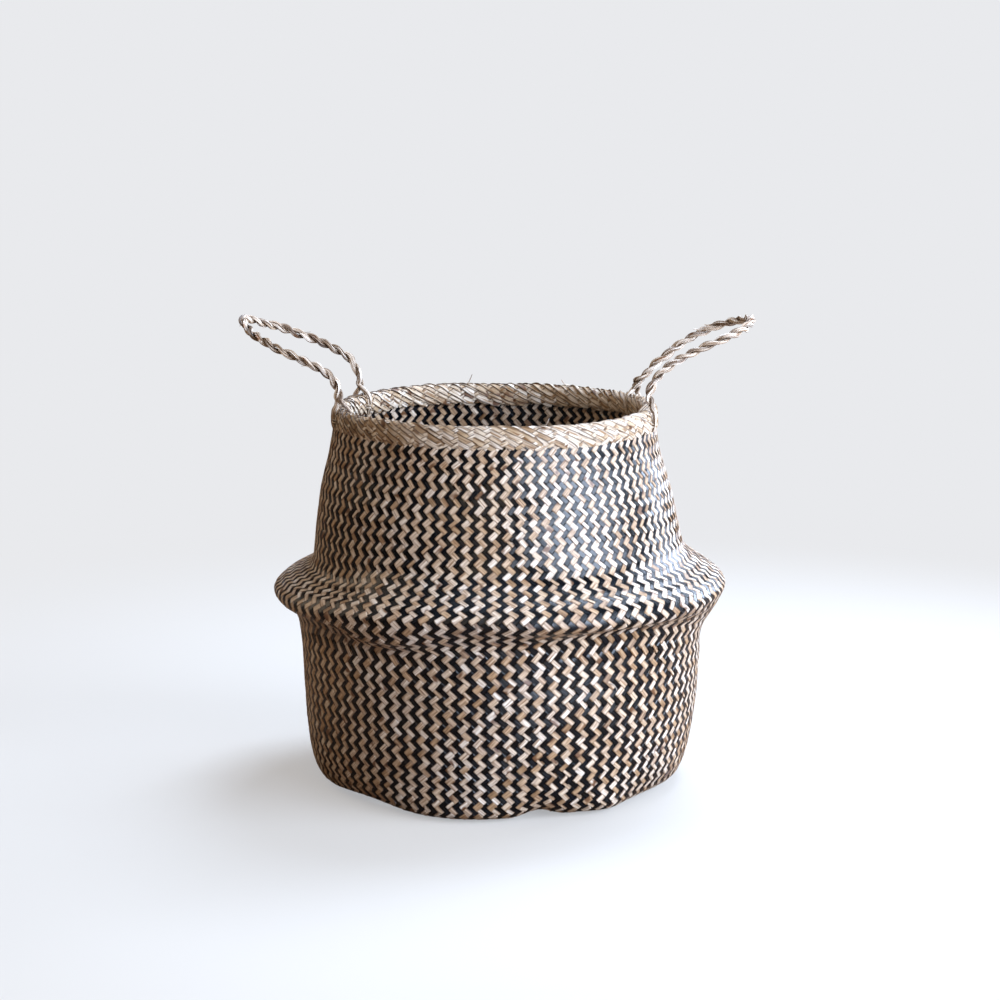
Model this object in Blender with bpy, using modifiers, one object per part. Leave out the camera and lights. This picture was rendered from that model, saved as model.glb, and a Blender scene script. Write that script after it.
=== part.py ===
"""Belly basket of plaited seagrass with a folded belly, a lapped rim and two twisted rope handles.

The plaited body is a turned shell in five solids that meet at its bends: a flat base panel, the base's
rounded corner, the lower wall, the overhanging underside of the fold, and the neck wall from the
fold's crease up to the rim.
The neck folds down, so the rim, with everything sewn to it, slides on the Z axis. Each rope handle
turns about the line through the centres of its two roots. Lengths are in metres, Z is up, and the
origin is the centre of the base on the floor.
"""

import math

import bmesh
import bpy
from mathutils import Vector

# Driving dimensions of the plaited body, outside faces
BODY_HEIGHT = 0.332
RIM_RADIUS = 0.1415
BELLY_RADIUS = 0.200
FOLD_HEIGHT = 0.177
UNDER_FOLD_RADIUS = 0.1748
UNDER_FOLD_HEIGHT = 0.116
BASE_RADIUS = 0.140
BASE_CORNER = 0.026
SHEET = 0.004

# The lapped rim: strand ends bent over the top edge, between two sewn bands
BAND_HEIGHT = 0.017
BAND_THICKNESS = 0.0022
BAND_FLARE = 0.0025
BAND_ROUNDING = 0.0018

# The rope handles
ROPE_DIAMETER = 0.0096
LEFT_CHORD = 0.096
RIGHT_CHORD = 0.108
LEFT_TURN_DEG = 8.0
RIGHT_TURN_DEG = 3.5
LOOP_WIDTH = 0.106
LOOP_REACH = 0.092
LOOP_RISE = 0.065
ROOT_LIFT = 0.0005
ROOT_INSET = 0.0015

# The rope's combed-out end, sewn down on the outside of the rim
TAIL_DIAMETER = 0.0066
TAIL_DROP = 0.013

# The lashing round each rope tail
LASH_DIAMETER = 0.0020
LASH_DROP = 0.008

# Clearance between pieces that touch
GAP = 0.0003

# How finely round shapes are divided, and what is merged or cut short where they close
RING_STEPS = 60
CORNER_STEPS = 5
SHOULDER_STEPS = 3
LASH_BEND_STEPS = 8
ROPE_SIDES_RESOLUTION = 3
LASH_SIDES_RESOLUTION = 1
MERGE_DISTANCE = 0.00001
SHARPEST_MITRE = 0.5

# Outline of the neck: share of the way out from its top to the crease, and share of its height
NECK_OUTLINE_SHARES = (
    (0.0, 1.0),
    (0.085, 0.85),
    (0.17, 0.72),
    (0.235, 0.58),
    (0.29, 0.42),
    (0.335, 0.29),
    (0.42, 0.20),
    (0.66, 0.135),
    (0.89, 0.075),
    (1.0, 0.0),
)
# Outline of the fold's underside: share of the way out, and share of the height, below the crease
UNDER_FOLD_SHARES = (
    (1.0, 1.0),
    (0.94, 0.88),
    (0.73, 0.74),
    (0.43, 0.59),
    (0.19, 0.44),
    (0.05, 0.27),
    (0.0, 0.0),
)
# The lower wall's middle, as shares of the way from its foot up to the fold's underside
LOWER_WALL_SHARES = ((0.72, 0.5),)
# One leg of a handle loop: share of the half width, of the reach and of the rise, root to tip
LOOP_LEG_SHARES = (
    (0.015, 0.13),
    (0.05, 0.28),
    (0.13, 0.43),
    (0.25, 0.56),
    (0.41, 0.69),
    (0.58, 0.80),
    (0.75, 0.89),
)
LOOP_TIP_SHARES = (
    (0.93, 0.89, 0.95),
    (0.66, 0.97, 0.985),
    (0.0, 1.0, 1.0),
)

# Derived places
ROPE_RADIUS = ROPE_DIAMETER / 2
TAIL_RADIUS = TAIL_DIAMETER / 2
LASH_RADIUS = LASH_DIAMETER / 2
BAND_FOOT_HEIGHT = BODY_HEIGHT - BAND_HEIGHT
CORE_TOP_HEIGHT = BODY_HEIGHT - BAND_THICKNESS - GAP
CORE_FOOT_RADIUS = RIM_RADIUS + BAND_FLARE - BAND_THICKNESS - GAP
CORE_TOP_RADIUS = RIM_RADIUS - BAND_THICKNESS - GAP
NECK_TOP_HEIGHT = BAND_FOOT_HEIGHT - GAP
WALL_FOOT_RADIUS = BASE_RADIUS + BASE_CORNER
ROOT_RADIUS = RIM_RADIUS - ROOT_INSET
ROOT_HEIGHT = BODY_HEIGHT + ROOT_LIFT + ROPE_RADIUS
LASH_HEIGHT = BODY_HEIGHT - LASH_DROP


def srgb_to_linear(channel):
    """One channel of an sRGB colour, 0 to 1, as linear light."""
    if channel <= 0.04045:
        return channel / 12.92
    return ((channel + 0.055) / 1.055) ** 2.4


def plant_material(name, hex_colour, roughness):
    """A dull plant-fibre finish in one colour."""
    red, green, blue = (int(hex_colour[i : i + 2], 16) / 255 for i in (0, 2, 4))
    material = bpy.data.materials.new(name)
    material.use_nodes = True
    shader = material.node_tree.nodes["Principled BSDF"]
    linear = [srgb_to_linear(channel) for channel in (red, green, blue)]
    shader.inputs["Base Color"].default_value = (*linear, 1.0)
    shader.inputs["Roughness"].default_value = roughness
    shader.inputs["Metallic"].default_value = 0.0
    material.diffuse_color = (*linear, 1.0)
    return material


def clear_scene():
    for old in list(bpy.data.objects):
        bpy.data.objects.remove(old, do_unlink=True)


def new_collection(name):
    collection = bpy.data.collections.new(name)
    bpy.context.scene.collection.children.link(collection)
    return collection


def smooth_through(points, steps):
    """Points on a smooth curve through the given ones, with this many steps from each to the next."""
    ends = [2 * points[0] - points[1]] + list(points) + [2 * points[-1] - points[-2]]
    curve = []
    for before, start, end, after in zip(ends, ends[1:], ends[2:], ends[3:]):
        for step in range(steps):
            t = step / steps
            curve.append(
                start
                + (end - before) * (t / 2)
                + (before * 2 - start * 5 + end * 4 - after) * (t * t / 2)
                + (start * 3 - before - end * 3 + after) * (t * t * t / 2)
            )
    curve.append(points[-1].copy())
    return curve


def between(low, high, share):
    return low + (high - low) * share


def station(inner_radius, outer_radius, low, high, shares):
    """A point of the body's outside face, as (radius, height), from its shares of the way out and up."""
    out, up = shares
    return Vector((between(inner_radius, outer_radius, out), between(low, high, up)))


def neck_outline():
    """Outside face of the neck wall from the rim's foot down to the crease, as (radius, height)."""
    bottom = FOLD_HEIGHT + GAP / 2
    return [
        station(CORE_FOOT_RADIUS, BELLY_RADIUS, bottom, NECK_TOP_HEIGHT, shares)
        for shares in NECK_OUTLINE_SHARES
    ]


def fold_underside_outline():
    """Outside face of the overhang from the crease down to where it meets the lower wall."""
    top = FOLD_HEIGHT - GAP / 2
    bottom = UNDER_FOLD_HEIGHT + GAP / 2
    return [
        station(UNDER_FOLD_RADIUS, BELLY_RADIUS, bottom, top, shares)
        for shares in UNDER_FOLD_SHARES
    ]


def lower_wall_outline():
    """Outside face of the lower wall, from the underside of the fold down to the base's corner."""
    top = UNDER_FOLD_HEIGHT - GAP / 2
    foot = BASE_CORNER + GAP / 2
    outline = [Vector((UNDER_FOLD_RADIUS, top))]
    for shares in LOWER_WALL_SHARES:
        outline.append(station(WALL_FOOT_RADIUS, UNDER_FOLD_RADIUS, foot, top, shares))
    outline.append(Vector((WALL_FOOT_RADIUS, foot)))
    return outline


def base_corner_outline():
    """Outside face of the corner, a quarter circle from the lower wall in to the base panel's edge."""
    outline = [Vector((WALL_FOOT_RADIUS, BASE_CORNER - GAP / 2))]
    for step in range(1, CORNER_STEPS + 1):
        angle = math.pi / 2 * step / CORNER_STEPS
        radius = BASE_RADIUS + BASE_CORNER * math.cos(angle)
        outline.append(Vector((radius, BASE_CORNER * (1 - math.sin(angle)))))
    return outline


def inner_face(outline, thickness, first_way, last_way):
    """The outline moved inwards by the sheet's thickness, with the directions at its two ends given."""
    inner = []
    for index, point in enumerate(outline):
        if index == 0:
            way = Vector(first_way)
        elif index == len(outline) - 1:
            way = Vector(last_way)
        else:
            before = (point - outline[index - 1]).normalized()
            after = (outline[index + 1] - point).normalized()
            along = (before + after).normalized()
            across = Vector((along.y, -along.x))
            way = across / max(across.dot(Vector((before.y, -before.x))), SHARPEST_MITRE)
        inner.append(point + way * thickness)
    return inner


def profile_object(name, outline, collection, material):
    """A solid of revolution about Z from a closed outline that runs down its outer side."""
    mesh = bpy.data.meshes.new(name)
    points = [(point.x, 0.0, point.y) for point in outline]
    edges = [(i, (i + 1) % len(points)) for i in range(len(points))]
    mesh.from_pydata(points, edges, [])
    piece = bpy.data.objects.new(name, mesh)
    collection.objects.link(piece)
    screw = piece.modifiers.new("turn", "SCREW")
    screw.axis = "Z"
    screw.steps = RING_STEPS
    screw.render_steps = RING_STEPS
    screw.use_merge_vertices = True
    screw.merge_threshold = MERGE_DISTANCE
    screw.use_smooth_shade = True
    mesh.materials.append(material)
    return piece


def make_base_panel(collection, material):
    """The flat middle of the plait, which the basket stands on, as a round panel."""
    bpy.ops.mesh.primitive_cylinder_add(
        vertices=RING_STEPS,
        radius=BASE_RADIUS - GAP,
        depth=SHEET,
        location=(0, 0, SHEET / 2),
    )
    panel = bpy.context.object
    panel.name = "base_panel"
    panel.data.name = "base_panel"
    for owner in list(panel.users_collection):
        owner.objects.unlink(panel)
    collection.objects.link(panel)
    panel.data.materials.append(material)
    return panel


def make_base_corner(collection, material):
    """The rounded corner that joins the base panel to the lower wall."""
    outer = base_corner_outline()
    inner = inner_face(outer, SHEET, (-1, 0), (0, 1))
    return profile_object("base_corner", outer + inner[::-1], collection, material)


def make_lower_wall(collection, material):
    """The wall that leans out from the base's corner to the underside of the fold."""
    outer = lower_wall_outline()
    inner = inner_face(outer, SHEET, (-1, 0), (-1, 0))
    return profile_object("lower_wall", outer + inner[::-1], collection, material)


def make_fold_underside(collection, material):
    """The overhang of the belly, from the lower wall out to the crease."""
    outer = fold_underside_outline()
    inner = inner_face(outer, SHEET, (-1, 0), (-1, 0))
    return profile_object("fold_underside", outer + inner[::-1], collection, material)


def make_neck_wall(collection, material):
    """The part that folds down: from the crease in and up to the foot of the rim."""
    outer = neck_outline()
    inner = inner_face(outer, SHEET, (-1, 0), (-1, 0))
    return profile_object("neck_wall", outer + inner[::-1], collection, material)


def make_rim_core(collection, material):
    """The body's strand ends, bent over and stacked between the two rim bands."""
    outer_top = Vector((CORE_TOP_RADIUS, CORE_TOP_HEIGHT))
    outer_foot = Vector((CORE_FOOT_RADIUS, BAND_FOOT_HEIGHT))
    inward = Vector((-SHEET, 0))
    outline = [outer_top, outer_foot, outer_foot + inward, outer_top + inward]
    return profile_object("rim_core", outline, collection, material)


def rim_middle_radius():
    return CORE_TOP_RADIUS - SHEET / 2


def rounded_shoulder(corner, radius):
    """Points round a quarter circle that ends the band's outer face at its top, from top to side."""
    centre = corner - Vector((radius, radius))
    arc = []
    for step in range(SHOULDER_STEPS + 1):
        angle = math.pi / 2 * (1 - step / SHOULDER_STEPS)
        arc.append(centre + Vector((math.cos(angle), math.sin(angle))) * radius)
    return arc


def outer_band_outline():
    """Section of the outer band: a strip turned over the top edge of the core to its middle."""
    shoulder = rounded_shoulder(Vector((RIM_RADIUS, BODY_HEIGHT)), BAND_ROUNDING)
    foot = Vector((RIM_RADIUS + BAND_FLARE, BAND_FOOT_HEIGHT))
    inner_foot = foot - Vector((BAND_THICKNESS, 0))
    inner_top = Vector((RIM_RADIUS - BAND_THICKNESS, BODY_HEIGHT - BAND_THICKNESS))
    lip_foot = Vector((rim_middle_radius() + GAP / 2, BODY_HEIGHT - BAND_THICKNESS))
    lip_top = Vector((rim_middle_radius() + GAP / 2, BODY_HEIGHT))
    return [lip_top] + shoulder + [foot, inner_foot, inner_top, lip_foot]


def make_rim_outer_band(collection, material):
    """The lapped seagrass edging sewn round the outside of the rim."""
    return profile_object("rim_outer_band", outer_band_outline(), collection, material)


def make_rim_inner_band(collection, material):
    """The same edging on the inside of the rim, the outer one's section reflected in the wall's middle."""
    middle_top = rim_middle_radius()
    core_height = BAND_HEIGHT - BAND_THICKNESS
    outline = []
    for point in reversed(outer_band_outline()):
        drop = max(0.0, (BODY_HEIGHT - BAND_THICKNESS - point.y) / core_height)
        middle = between(middle_top, middle_top + BAND_FLARE, drop)
        outline.append(Vector((2 * middle - point.x, point.y)))
    return profile_object("rim_inner_band", outline, collection, material)


def rope_curve(name, points, radii, diameter, resolution, cyclic=False):
    """A round tube along the points, as a poly curve that is not yet in any collection."""
    data = bpy.data.curves.new(name, "CURVE")
    data.dimensions = "3D"
    data.bevel_depth = diameter / 2
    data.bevel_resolution = resolution
    data.use_fill_caps = not cyclic
    spline = data.splines.new("POLY")
    spline.points.add(len(points) - 1)
    for slot, point, radius in zip(spline.points, points, radii):
        slot.co = (*point, 1.0)
        slot.radius = radius
    spline.use_cyclic_u = cyclic
    return bpy.data.objects.new(name, data)


def rounded_end(start, towards, radius):
    """Ring centres and radius shares of the half ball that closes a rope behind its first point."""
    way = (start - towards).normalized()
    ball_shares = (0.28, 0.68, 0.92)
    rings = []
    for share in ball_shares:
        rings.append((start + way * radius * math.sqrt(1 - share * share), share))
    return rings


def rounded_rope(points, radius, both_ends):
    """Points and radius shares of a rope whose first end, or both, are closed by half balls."""
    front = rounded_end(points[0], points[1], radius)
    path = [place for place, _ in front] + list(points)
    shares = [share for _, share in front] + [1.0] * len(points)
    if both_ends:
        back = rounded_end(points[-1], points[-2], radius)
        path += [place for place, _ in reversed(back)]
        shares += [share for _, share in reversed(back)]
    return path, shares


def place_in_collection(piece, collection, material, parent, location, turn):
    """Links a piece, gives it its material and sets it in its parent's frame, turned about Z."""
    collection.objects.link(piece)
    piece.data.materials.append(material)
    piece.parent = parent
    piece.location = location
    piece.rotation_euler = (0, 0, turn)


def loop_path(chord):
    """Centre line of a handle loop in its own frame: X outwards, Y along the roots, Z up.

    The origin is the middle of the line through the two root centres.
    """
    half_width = LOOP_WIDTH / 2
    leg = [Vector((0, chord / 2, 0))]
    last = len(LOOP_LEG_SHARES)
    for index, (out, up) in enumerate(LOOP_LEG_SHARES):
        side = between(chord / 2, half_width, (index + 1) / last)
        leg.append(Vector((LOOP_REACH * out, side, LOOP_RISE * up)))
    for side, out, up in LOOP_TIP_SHARES:
        leg.append(Vector((LOOP_REACH * out, half_width * side, LOOP_RISE * up)))
    far_leg = [Vector((point.x, -point.y, point.z)) for point in leg[-2::-1]]
    return smooth_through(leg + far_leg, 2)


def make_handle(side, chord, turn_deg, collection, material, rim_frame):
    """One rope handle, with its origin on the line through its two roots. Returns the roots' spread."""
    turn = math.radians(turn_deg)
    spread = math.asin(chord / 2 / ROOT_RADIUS)
    axis_distance = ROOT_RADIUS * math.cos(spread)
    place = Vector((math.cos(turn), math.sin(turn), 0)) * axis_distance
    place.z = ROOT_HEIGHT
    path, shares = rounded_rope(loop_path(chord), ROPE_RADIUS, True)
    handle = rope_curve(
        "rope_handle_" + side, path, shares, ROPE_DIAMETER, ROPE_SIDES_RESOLUTION
    )
    place_in_collection(handle, collection, material, rim_frame, place, turn)
    return spread


def tail_centre(height):
    """A point of a rope tail's centre line, which follows the flare of the outer band."""
    flare = BAND_FLARE * (BODY_HEIGHT - height) / BAND_HEIGHT
    return Vector((RIM_RADIUS + flare + GAP + TAIL_RADIUS, 0, height))


def tail_path():
    """Centre line of the rope's sewn end in a root's frame: X outwards from the axis of the basket.

    Its rounded top is level with the rim, clear of the loop as that droops, and its foot reaches
    down the band.
    """
    top_height = BODY_HEIGHT - TAIL_RADIUS
    foot_height = BODY_HEIGHT - TAIL_DROP
    middle_height = (top_height + foot_height) / 2
    return [tail_centre(height) for height in (top_height, middle_height, foot_height)]


def make_rope_tail(name, collection, material, rim_frame, azimuth):
    """The end of the rope, lying against the outside of the rim below the root."""
    path, shares = rounded_rope(tail_path(), TAIL_RADIUS, True)
    tail = rope_curve(name, path, shares, TAIL_DIAMETER, ROPE_SIDES_RESOLUTION)
    place_in_collection(tail, collection, material, rim_frame, (0, 0, 0), azimuth)
    return tail


def lashing_path():
    """Closed line of a lashing in a root's frame: round the tail, in through the rim and back out."""
    reach = TAIL_RADIUS + GAP + LASH_RADIUS
    tail = tail_centre(LASH_HEIGHT)
    inner_face_radius = CORE_TOP_RADIUS - SHEET - GAP - BAND_THICKNESS
    inside = inner_face_radius - GAP - LASH_RADIUS
    bend_share = 0.7
    points = []
    for step in range(LASH_BEND_STEPS + 1):
        angle = math.pi * (0.5 - step / LASH_BEND_STEPS)
        across = Vector((math.cos(angle), math.sin(angle), 0))
        points.append(tail + across * reach)
    points.append(Vector((inside + LASH_DIAMETER, -reach, LASH_HEIGHT)))
    points.append(Vector((inside, -reach * bend_share, LASH_HEIGHT)))
    points.append(Vector((inside, reach * bend_share, LASH_HEIGHT)))
    points.append(Vector((inside + LASH_DIAMETER, reach, LASH_HEIGHT)))
    return points


def make_lashing(name, collection, cutters, material, rim_frame, azimuth):
    """A strand lashed round a rope tail and through the rim, and the cutter for its holes."""
    points = lashing_path()
    shares = [1.0] * len(points)
    lashing = rope_curve(name, points, shares, LASH_DIAMETER, LASH_SIDES_RESOLUTION, True)
    place_in_collection(lashing, collection, material, rim_frame, (0, 0, 0), azimuth)
    hole = rope_curve(
        name + "_hole",
        points,
        shares,
        LASH_DIAMETER + 2 * GAP,
        LASH_SIDES_RESOLUTION,
        True,
    )
    place_in_collection(hole, cutters, material, rim_frame, (0, 0, 0), azimuth)
    return hole


def curve_to_mesh(piece, collection):
    """A mesh object in the place of a curve object, with the seams of its surface joined."""
    bpy.context.view_layer.update()
    graph = bpy.context.evaluated_depsgraph_get()
    mesh = bpy.data.meshes.new_from_object(piece.evaluated_get(graph))
    shape = bmesh.new()
    shape.from_mesh(mesh)
    bmesh.ops.remove_doubles(shape, verts=shape.verts, dist=MERGE_DISTANCE)
    bmesh.ops.recalc_face_normals(shape, faces=shape.faces)
    shape.to_mesh(mesh)
    shape.free()
    solid = bpy.data.objects.new(piece.name + "_solid", mesh)
    collection.objects.link(solid)
    solid.matrix_world = piece.matrix_world.copy()
    bpy.data.objects.remove(piece, do_unlink=True)
    return solid


def cut_holes(pieces, holes, cutters):
    """Cuts each lashing's path through the rim pieces."""
    for hole in holes:
        cutter = curve_to_mesh(hole, cutters)
        cutter.hide_render = True
        cutter.display_type = "WIRE"
        for piece in pieces:
            cut = piece.modifiers.new("cut_" + cutter.name, "BOOLEAN")
            cut.operation = "DIFFERENCE"
            cut.solver = "EXACT"
            cut.object = cutter


def main():
    clear_scene()
    parts = new_collection("belly_basket")
    cutters = new_collection("cutters")
    cutters.hide_render = True
    natural = plant_material("seagrass_natural", "C9AD8C", 0.7)
    dyed = plant_material("seagrass_black_and_natural", "5B4F42", 0.65)
    rope = plant_material("seagrass_rope", "D6C2A6", 0.75)

    make_base_panel(parts, dyed)
    make_base_corner(parts, dyed)
    make_lower_wall(parts, dyed)
    make_fold_underside(parts, dyed)
    make_neck_wall(parts, dyed)

    rim_frame = bpy.data.objects.new("rim_frame", None)
    parts.objects.link(rim_frame)
    core = make_rim_core(parts, natural)
    outer_band = make_rim_outer_band(parts, natural)
    inner_band = make_rim_inner_band(parts, natural)
    for piece in (core, outer_band, inner_band):
        piece.parent = rim_frame

    holes = []
    handles = (
        ("right", RIGHT_CHORD, RIGHT_TURN_DEG),
        ("left", LEFT_CHORD, 180.0 - LEFT_TURN_DEG),
    )
    for side, chord, turn_deg in handles:
        spread = make_handle(side, chord, turn_deg, parts, rope, rim_frame)
        for place, sign in (("front", -1), ("back", 1)):
            if side == "left":
                sign = -sign
            azimuth = math.radians(turn_deg) + sign * spread
            root = side + "_" + place
            make_rope_tail("rope_tail_" + root, parts, rope, rim_frame, azimuth)
            holes.append(
                make_lashing(
                    "root_lashing_" + root, parts, cutters, natural, rim_frame, azimuth
                )
            )
    cut_holes((core, outer_band, inner_band), holes, cutters)


main()
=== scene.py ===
"""Looks of the belly basket: plaited body, lapped rim, rope handles, floor, light and camera.

The body is plaited here strand by strand. Every strand is one long flat ribbon that runs from the base
to the rim and passes over two crossing strands and under two. Every second strand is dyed black, which
gives the upright zigzags on both faces of the plait.
"""

import math

import bpy
import numpy as np
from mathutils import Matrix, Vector


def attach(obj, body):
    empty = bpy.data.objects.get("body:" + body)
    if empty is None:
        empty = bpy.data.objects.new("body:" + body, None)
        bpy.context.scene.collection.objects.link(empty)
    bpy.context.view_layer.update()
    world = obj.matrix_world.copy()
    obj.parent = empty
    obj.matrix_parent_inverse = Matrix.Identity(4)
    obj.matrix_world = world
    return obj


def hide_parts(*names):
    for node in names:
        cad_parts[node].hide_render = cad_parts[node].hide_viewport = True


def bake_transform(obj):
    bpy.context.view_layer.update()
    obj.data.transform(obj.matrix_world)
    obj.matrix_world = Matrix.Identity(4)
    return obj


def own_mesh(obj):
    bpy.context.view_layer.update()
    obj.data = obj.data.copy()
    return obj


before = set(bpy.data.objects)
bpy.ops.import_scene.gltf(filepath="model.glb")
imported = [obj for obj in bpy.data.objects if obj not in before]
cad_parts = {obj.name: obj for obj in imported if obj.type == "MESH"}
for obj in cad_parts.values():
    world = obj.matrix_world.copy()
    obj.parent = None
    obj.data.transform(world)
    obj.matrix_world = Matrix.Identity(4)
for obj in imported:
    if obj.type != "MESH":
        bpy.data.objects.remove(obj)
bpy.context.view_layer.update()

# Sizes, in metres, as in the CAD
BODY_HEIGHT = 0.332
RIM_RADIUS = 0.1415
BELLY_RADIUS = 0.200
FOLD_HEIGHT = 0.177
BASE_RADIUS = 0.140
BASE_CORNER = 0.026
BAND_HEIGHT = 0.017
BAND_FLARE = 0.0025
ROPE_DIAMETER = 0.0096
LOOP_WIDTH = 0.106
LOOP_REACH = 0.092
LOOP_RISE = 0.065
ROOT_RADIUS = 0.140
ROOT_HEIGHT = 0.3373
FOLD_ANCHOR = (0.0, 0.0, 0.17715)

# The plait
PAIRS = 88                      # black and natural column pairs round the body
STRANDS = 2 * PAIRS             # strands in each of the two directions
COLUMN = math.pi / STRANDS      # angle from one crossing to the next
ROW = 0.00288                   # height of one row of crossings, along the wall
LIFT = 0.00050                  # how far a strand lies above or below the middle of the plait
STRAND_THICKNESS = 0.00085
rng = np.random.default_rng(7)


def smooth_noise(size, count, periodic, seed):
    """Random values, smoothed along the last axis, in -1 to 1."""
    local = np.random.default_rng(seed)
    raw = local.normal(size=size)
    kernel = np.exp(-0.5 * (np.arange(-3 * count, 3 * count + 1) / count) ** 2)
    kernel /= np.sqrt((kernel ** 2).sum())
    mode = "wrap" if periodic else "edge"
    pad = [(0, 0)] * (raw.ndim - 1) + [(3 * count, 3 * count)]
    raw = np.pad(raw, pad, mode=mode)
    smooth = np.apply_along_axis(lambda line: np.convolve(line, kernel, "valid"), -1, raw)
    return np.clip(smooth / 2.2, -1, 1)


def catmull(points, steps):
    """Dense smooth curve through points, with this many steps per span."""
    points = np.asarray(points, float)
    ends = np.vstack([2 * points[0] - points[1], points, 2 * points[-1] - points[-2]])
    out = []
    for a, b, c, d in zip(ends, ends[1:], ends[2:], ends[3:]):
        t = np.linspace(0, 1, steps, endpoint=False)[:, None]
        out.append(b + (c - a) * (t / 2) + (2 * a - 5 * b + 4 * c - d) * (t * t / 2)
                   + (3 * b - a - 3 * c + d) * (t ** 3 / 2))
    out.append(points[-1:])
    return np.vstack(out)


# Middle of the plait as (radius, height), from the edge of the base to the foot of the rim. The
# sides of the hand-made basket differ: on the left the shoulder sits lower and turns in more suddenly.
RIGHT_SIDE = [
    (0.1400, 0.0012), (0.1555, 0.0050), (0.1650, 0.0180), (0.1720, 0.0475), (0.1765, 0.0850),
    (0.1780, 0.1180), (0.1787, 0.1320), (0.1815, 0.1415), (0.1866, 0.1506), (0.1930, 0.1604),
    (0.1978, 0.1694), (0.2002, 0.1776), (0.1918, 0.1858), (0.1783, 0.1945), (0.1660, 0.2051),
    (0.1608, 0.2170), (0.1520, 0.2563), (0.1422, 0.2931), (0.1382, 0.3240),
]
LEFT_SIDE = [
    (0.1400, 0.0012), (0.1555, 0.0050), (0.1640, 0.0180), (0.1690, 0.0460), (0.1710, 0.0850),
    (0.1725, 0.1120), (0.1735, 0.1265), (0.1752, 0.1372), (0.1777, 0.1475), (0.1853, 0.1578),
    (0.1930, 0.1652), (0.1972, 0.1712), (0.1898, 0.1788), (0.1780, 0.1852), (0.1652, 0.1925),
    (0.1618, 0.2060), (0.1568, 0.2531), (0.1470, 0.2942), (0.1415, 0.3240),
]
# The fold itself, from the lower wall to the start of the shoulder: tucked in to a sharp line on both
# sides of the front, and softer in the middle of the front and at the back
FOLD_START = 5                  # the first of the side's points that a form of the fold takes the place of
TUCKED_RIGHT = [(0.1762, 0.1225), (0.1768, 0.1370), (0.1775, 0.1510), (0.1800, 0.1630), (0.1885, 0.1680),
                (0.1985, 0.1705), (0.2003, 0.1775), (0.1935, 0.1868), (0.1810, 0.1955), (0.1697, 0.2060),
                (0.1630, 0.2175)]
TUCKED_LEFT = [(0.1745, 0.1205), (0.1750, 0.1350), (0.1755, 0.1480), (0.1775, 0.1590),
               (0.1860, 0.1635), (0.1960, 0.1660), (0.1985, 0.1730), (0.1910, 0.1820)]
HANGING_LEFT = [(0.1762, 0.1205), (0.1767, 0.1345), (0.1780, 0.1465), (0.1850, 0.1528), (0.1930, 0.1580),
                (0.1973, 0.1665), (0.1984, 0.1755), (0.1935, 0.1842), (0.1822, 0.1930), (0.1712, 0.2035),
                (0.1640, 0.2145)]
SOFT_FRONT = [(0.1768, 0.1190), (0.1773, 0.1330), (0.1785, 0.1440), (0.1812, 0.1545), (0.1872, 0.1635),
              (0.1940, 0.1712), (0.1985, 0.1785), (0.1930, 0.1872), (0.1815, 0.1972), (0.1708, 0.2078),
              (0.1636, 0.2190)]
# Azimuths in degrees at which the fold has these forms; None is the side's own outline
FOLD_STATIONS = [(-180, None), (-145, TUCKED_LEFT), (-122, HANGING_LEFT), (-96, SOFT_FRONT),
                 (-56, TUCKED_RIGHT), (-8, None), (55, TUCKED_RIGHT), (105, SOFT_FRONT), (145, None),
                 (180, None)]
RIM_SHIFT = -0.0018             # the rim's centre lies a little to the left of the base's
SPAN_STEPS = 24


def left_share(angle):
    """How far the wall follows the left side's outline: 1 at the left, 0 at the right."""
    return ((1 - np.cos(angle)) / 2) ** 1.7


station_angles, station_curves = [], []
for degrees, fold in FOLD_STATIONS:
    share = left_share(math.radians(degrees))
    keys = np.array(RIGHT_SIDE) * (1 - share) + np.array(LEFT_SIDE) * share
    if fold:
        keys[FOLD_START:FOLD_START + len(fold)] = fold
    station_angles.append(math.radians(degrees))
    station_curves.append(catmull(keys, SPAN_STEPS))
station_curves = np.array(station_curves)
arc = np.concatenate([[0], np.cumsum(np.linalg.norm(np.diff(catmull(RIGHT_SIDE, SPAN_STEPS), axis=0), axis=1))])
WALL_LENGTH = arc[-1]
ROWS = int(WALL_LENGTH / ROW)

# Low swells and dents of the hand-made wall, on a grid of angle and length
SWELL_ANGLES = 96
SWELL_STEPS = 40
swell = smooth_noise((SWELL_STEPS, SWELL_ANGLES), 5, True, 3)
swell = np.stack([np.convolve(np.pad(swell[:, i], 4, mode="edge"), np.ones(9) / 9, "valid")
                  for i in range(SWELL_ANGLES)], axis=1)
swell *= 0.0016 / np.abs(swell).max()


def grid_value(grid, angle, share):
    """Value of a grid that is periodic in angle, between its points."""
    rows, columns = grid.shape
    x = (angle / (2 * math.pi)) % 1.0 * columns
    y = np.clip(share, 0, 1) * (rows - 1)
    x0, y0 = np.floor(x).astype(int), np.minimum(np.floor(y).astype(int), rows - 2)
    fx, fy = x - x0, y - y0
    fx, fy = fx * fx * (3 - 2 * fx), fy * fy * (3 - 2 * fy)
    x0, x1 = x0 % columns, (x0 + 1) % columns
    top = grid[y0, x0] * (1 - fx) + grid[y0, x1] * fx
    low = grid[y0 + 1, x0] * (1 - fx) + grid[y0 + 1, x1] * fx
    return top * (1 - fy) + low * fy


def window(angle, centre_deg, reach_deg):
    """1 at an azimuth, falling smoothly to 0 at the given reach on both sides."""
    away = np.abs((angle - math.radians(centre_deg) + math.pi) % (2 * math.pi) - math.pi)
    share = np.clip(1 - away / math.radians(reach_deg), 0, 1)
    return share * share * (3 - 2 * share)


def smooth_step(share):
    share = np.clip(share, 0, 1)
    return share * share * (3 - 2 * share)


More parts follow.
